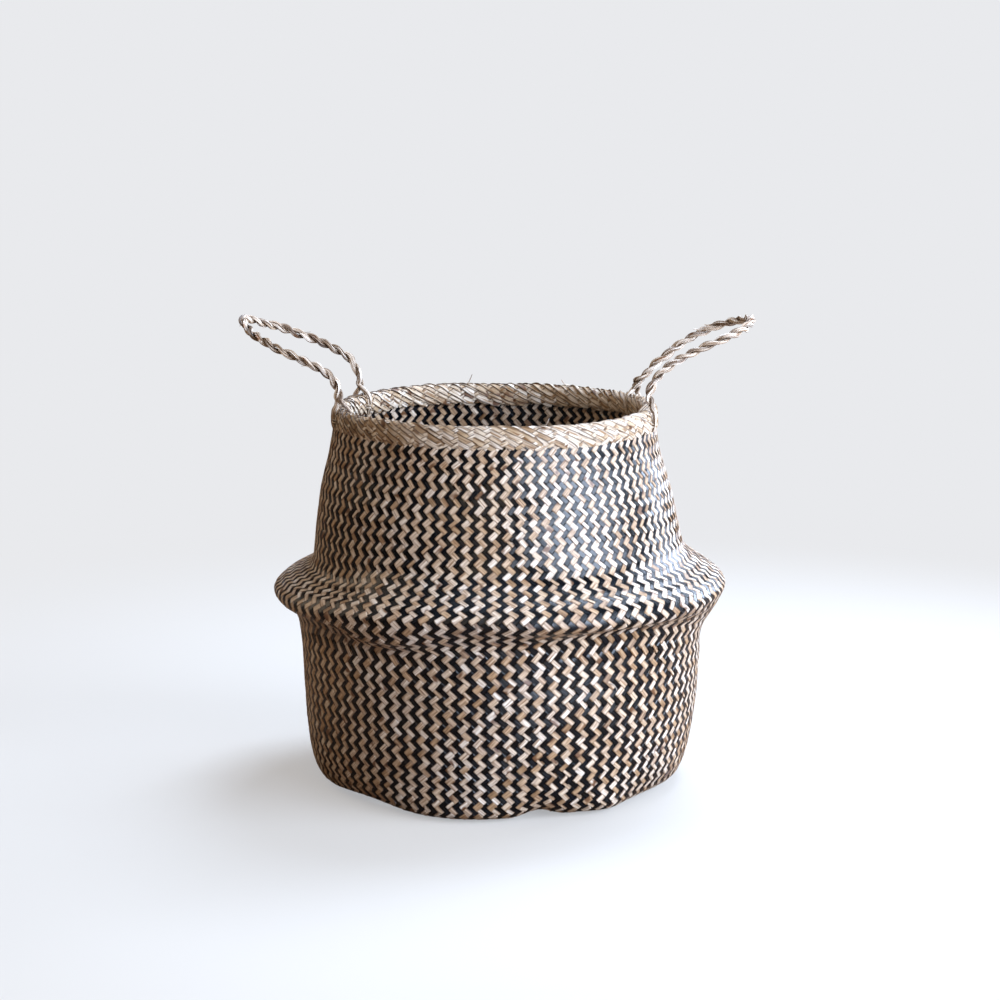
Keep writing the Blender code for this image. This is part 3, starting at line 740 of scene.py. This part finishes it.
for side, (chord, turn_deg, leg) in LOOPS.items():
    turn = math.radians(turn_deg)
    distance = ROOT_RADIUS * math.cos(math.asin(chord / 2 / ROOT_RADIUS))
    spin = np.array([[math.cos(turn), -math.sin(turn), 0], [math.sin(turn), math.cos(turn), 0], [0, 0, 1]])
    loop = loop_path(leg) @ spin.T + np.array([distance * math.cos(turn) + RIM_SHIFT / 2, distance * math.sin(turn),
                                               ROOT_HEIGHT])
    core = resample(catmull(loop, 12), 0.0011)
    tangent, n1, n2 = frames_along(core)
    travelled = np.concatenate([[0], np.cumsum(np.linalg.norm(np.diff(core, axis=0), axis=1))])
    plies, paths, radii, others = [], [], [], []
    slack = smooth_noise((2, len(core)), 14, False, 60 + len(side))
    for ply in (0, 1):
        phase = 2 * math.pi * travelled / ROPE_PITCH + math.pi * ply + 0.7 * slack[0]
        spread = (HELIX_RADIUS * (1 + 0.12 * slack[1]))[:, None]
        helix = core + (n1 * np.cos(phase)[:, None] + n2 * np.sin(phase)[:, None]) * spread
        # both ends leave the twist and run down the rim, one ply outside it and the other inside
        ends = []
        for end, azimuth in zip((0, -1), roots(chord, turn)):
            radial = np.array([math.cos(azimuth), math.sin(azimuth), 0])
            side_way = np.array([-math.sin(azimuth), math.cos(azimuth), 0])
            near = helix[7 if end == 0 else -8]
            other = core[7 if end == 0 else -8] * 2 - near
            stations = OUTER_TAIL if near @ radial > other @ radial else INNER_TAIL
            slip = 0.0010 * (1 if ply else -1)
            ends.append(np.array([radial * r + np.array([RIM_SHIFT, 0, z]) + side_way * slip * (i + 1) / 3
                                  for i, (r, z) in enumerate(stations)]))
        plies.append(resample(catmull(np.vstack([ends[0][::-1], helix[3:-3:2], ends[1]]), 4), 0.0010))
    for ply, path in enumerate(plies):
        _, across, over = frames_along(path)
        measure = np.concatenate([[0], np.cumsum(np.linalg.norm(np.diff(path, axis=0), axis=1))])
        full = smooth_step(np.minimum(measure, measure[-1] - measure) / 0.022)
        for blade in range(BLADES):
            noise = smooth_noise((4, len(path)), 6, False, 40 + ply * 50 + blade * 7 + len(side))
            swing = 2 * math.pi * (blade / BLADES - measure / BLADE_PITCH) + 0.5 * noise[0]
            offset = BLADE_OFFSET * (0.70 + 0.30 * full) * (1 + 0.30 * noise[1])
            paths.append(path + across * (offset * np.cos(swing))[:, None] + over * (offset * np.sin(swing))[:, None])
            radii.append(BLADE_RADIUS * (0.80 + 0.20 * full) * (1 + 0.18 * noise[2]))
            others.append((path, plies[1 - ply]))
    for at in rng.integers(20, len(core) - 40, LOOSE_ENDS):
        turned = rng.uniform(0, 2 * math.pi)
        off = n1[at] * math.cos(turned) + n2[at] * math.sin(turned)
        way = tangent[at] * rng.choice([-1.0, 1.0])
        reach = rng.uniform(0.005, 0.009)
        end = [core[at] + off * (0.0028 + 0.0032 * t * t) + way * reach * t for t in np.linspace(0, 1, 7)]
        paths.append(np.array(end))
        radii.append(np.linspace(0.00050, 0.00016, 7))
    piece = tube("rope_" + side, paths, radii, rope_grass, flat=BLADE_FLATNESS, others=others)
    nodes = ["rope_handle_" + side] + ["rope_tail_%s_%s" % (side, place) for place in ("front", "back")]
    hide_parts(*nodes)
    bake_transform(piece)

# Lashings: a flat strand round each root, drawn tight into the edging
for side, (chord, turn_deg, leg) in LOOPS.items():
    for place, azimuth in zip(("front", "back") if side == "left" else ("back", "front"), roots(chord, math.radians(turn_deg))):
        radial = np.array([math.cos(azimuth), math.sin(azimuth), 0])
        side_way = np.array([-math.sin(azimuth), math.cos(azimuth), 0])
        turns = []
        for step in range(34):
            a = 2 * math.pi * step / 17
            x = 0.1419 + 0.0030 * math.cos(a) if math.cos(a) > 0 else 0.1419 + 0.0135 * math.cos(a)
            turns.append(radial * x + side_way * 0.0033 * math.sin(a) + np.array([RIM_SHIFT, 0, 0.3235 - 0.0045 * step / 34]))
        path = resample(catmull(np.array(turns), 3), 0.0008)
        piece = tube("lashing_%s_%s" % (side, place), [path], [np.full(len(path), 0.0005)], rim_grass, sides=6, flat=2.2)
        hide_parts("root_lashing_%s_%s" % (side, place))
        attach(piece, "rim")

# Loose fibres, as (azimuth in degrees, radius, height, sideways reach, fall, outward reach) of each,
# in millimetres: a brown end below the rim at the right, and curls in the crease at the left
RIM_FIBRES = [(-23, 143, 312, 4, 15, 3), (-166, 143, 318, 6, 5, 4), (-74, 133, 333, 5, -6, 4),
              (102, 137, 333, -5, -8, 3), (61, 136, 333, 7, -5, -3), (150, 142, 322, 5, 3, 5)]
BODY_FIBRES = [(-139, 176, 151, -9, -7, 4), (-136, 176, 157, 11, 2, 5), (-133, 176, 148, 5, 8, 3),
               (-58, 177, 118, 6, 7, 3), (20, 177, 96, 6, -5, 4), (95, 175, 60, -7, 5, 4)]
for name, fibres, body in (("loose_fibres_rim", RIM_FIBRES, "rim"), ("loose_fibres_body", BODY_FIBRES, "basket_body")):
    paths, radii = [], []
    for degrees, radius, height, sideways, fall, outward in fibres:
        azimuth = math.radians(degrees)
        out_way = np.array([math.cos(azimuth), math.sin(azimuth), 0])
        side_way = np.array([-math.sin(azimuth), math.cos(azimuth), 0])
        t = np.linspace(0, 1, 8)[:, None]
        path = (out_way * (radius + outward * np.sin(t * 2.2)) + side_way * sideways * t
                + np.array([0, 0, 1.0]) * (height - fall * t * t)) / 1000
        paths.append(path)
        radii.append(np.linspace(0.00045, 0.00018, 8))
    piece = tube(name, paths, radii, rope_grass, sides=5, flat=1.6)
    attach(piece, body)

# Floor and backdrop: a wide pale bowl, so that no edge shows from any side
rings = [(0.0, 0.0), (0.6, 0.0), (1.4, 0.0), (2.4, 0.0)]
rings += [(2.4 + 1.6 * math.sin(a), 1.6 - 1.6 * math.cos(a)) for a in np.radians(np.arange(10, 91, 10))]
rings += [(4.0, 3.2), (4.0, 5.0)]
floor_sides = 96
floor_points = [(r * math.cos(2 * math.pi * i / floor_sides), r * math.sin(2 * math.pi * i / floor_sides), z)
                for r, z in rings[1:] for i in range(floor_sides)] + [(0.0, 0.0, 0.0)]
floor_faces = [(len(floor_points) - 1, i, (i + 1) % floor_sides) for i in range(floor_sides)]
for j in range(len(rings) - 2):
    for i in range(floor_sides):
        n = (i + 1) % floor_sides
        floor_faces.append((j * floor_sides + i, (j + 1) * floor_sides + i, (j + 1) * floor_sides + n, j * floor_sides + n))
floor_mesh = bpy.data.meshes.new("floor")
floor_mesh.from_pydata(floor_points, [], floor_faces)
floor_mesh.polygons.foreach_set("use_smooth", np.ones(len(floor_faces), bool))
floor = bpy.data.objects.new("floor", floor_mesh)
bpy.context.scene.collection.objects.link(floor)
# The camera sees it pale, and evenly so beyond the basket's shadow. Other rays meet an ordinary floor.
floor_finish = bpy.data.materials.new("floor_pale")
floor_finish.use_nodes = True
tree = floor_finish.node_tree
floor_shader = tree.nodes["Principled BSDF"]
floor_shader.inputs["Roughness"].default_value = 0.8
rays = node(tree, "ShaderNodeLightPath")
floor_tone = node(tree, "ShaderNodeMix", set_data_type="RGBA")
floor_tone.inputs[6].default_value = linear("705640")
floor_tone.inputs[7].default_value = linear("D6D2CB")
tree.links.new(rays.outputs["Is Camera Ray"], floor_tone.inputs[0])
tree.links.new(floor_tone.outputs[2], floor_shader.inputs["Base Color"])
pale = node(tree, "ShaderNodeEmission", Color=linear("E9EAED"), Strength=1.0)
floor_place = node(tree, "ShaderNodeTexCoord")
away = node(tree, "ShaderNodeVectorMath", set_operation="LENGTH")
tree.links.new(floor_place.outputs["Object"], away.inputs[0])
evenness = node(tree, "ShaderNodeMapRange", set_interpolation_type="SMOOTHSTEP", From_Min=0.35, From_Max=1.15,
                To_Min=0.48, To_Max=1.0)
tree.links.new(away.outputs["Value"], evenness.inputs["Value"])
pale_share = node(tree, "ShaderNodeMath", set_operation="MULTIPLY")
tree.links.new(rays.outputs["Is Camera Ray"], pale_share.inputs[0])
tree.links.new(evenness.outputs[0], pale_share.inputs[1])
floor_mix = node(tree, "ShaderNodeMixShader")
tree.links.new(pale_share.outputs[0], floor_mix.inputs[0])
tree.links.new(floor_shader.outputs[0], floor_mix.inputs[1])
tree.links.new(pale.outputs[0], floor_mix.inputs[2])
tree.links.new(floor_mix.outputs[0], tree.nodes["Material Output"].inputs["Surface"])
floor_mesh.materials.append(floor_finish)


def area_light(name, location, aim, size, power, colour):
    data = bpy.data.lights.new(name, "AREA")
    data.shape = "RECTANGLE"
    data.size, data.size_y = size
    data.energy = power
    data.color = colour
    lamp = bpy.data.objects.new(name, data)
    lamp.location = location
    lamp.rotation_euler = (Vector(aim) - Vector(location)).to_track_quat("-Z", "Y").to_euler()
    bpy.context.scene.collection.objects.link(lamp)


# Daylight from a wide window at the right and from the sky above and behind it, and a weak warm room in front
DAYLIGHT = (0.82, 0.97, 1.22)
ROOM_LIGHT = (1.0, 0.81, 0.60)
area_light("window", (1.84, -0.78, 0.95), (0, 0, 0.2), (1.3, 1.0), 56, DAYLIGHT)
area_light("window_front", (1.20, -1.57, 0.54), (0, 0, 0.2), (1.0, 0.9), 38, DAYLIGHT)
area_light("window_back", (1.55, 1.25, 0.75), (0, 0, 0.2), (1.0, 1.0), 40, DAYLIGHT)
area_light("sky_back", (0.58, 1.01, 2.07), (0, 0, 0.2), (1.0, 1.0), 56, DAYLIGHT)
area_light("sky_top", (0.0, 0.0, 2.4), (0, 0, 0.2), (1.4, 1.4), 6, DAYLIGHT)
area_light("room_left", (-1.60, 0.50, 1.20), (0, 0, 0.2), (1.6, 1.2), 9.5, ROOM_LIGHT)
area_light("room_front", (-0.10, -1.80, 1.40), (0, 0, 0.2), (1.6, 0.7), 8, ROOM_LIGHT)

world = bpy.data.worlds.new("studio")
world.use_nodes = True
bpy.context.scene.world = world
tree = world.node_tree
background = tree.nodes["Background"]
background.inputs["Color"].default_value = (0.95, 0.95, 0.95, 1)
background.inputs["Strength"].default_value = 0.08
seen = node(tree, "ShaderNodeBackground", Color=linear("E9EAED"), Strength=1.0)
mirrored = node(tree, "ShaderNodeBackground", Color=(0.8, 0.88, 1.0, 1.0), Strength=0.06)
rays = node(tree, "ShaderNodeLightPath")
mixed = background
for ray, other in (("Is Glossy Ray", mirrored), ("Is Camera Ray", seen)):
    mix = node(tree, "ShaderNodeMixShader")
    tree.links.new(rays.outputs[ray], mix.inputs[0])
    tree.links.new(mixed.outputs[0], mix.inputs[1])
    tree.links.new(other.outputs[0], mix.inputs[2])
    mixed = mix
tree.links.new(mixed.outputs[0], tree.nodes["World Output"].inputs["Surface"])

camera_data = bpy.data.cameras.new("camera")
camera_data.sensor_width = 36.0
camera_data.lens = 94.68
camera = bpy.data.objects.new("camera", camera_data)
camera.location = (0.0018, -2.29, 0.662)
camera.rotation_euler = (math.pi / 2 - math.atan((0.662 - 0.247) / 2.29), 0, 0)
bpy.context.scene.collection.objects.link(camera)
bpy.context.scene.camera = camera
bpy.context.scene.view_settings.view_transform = "Standard"
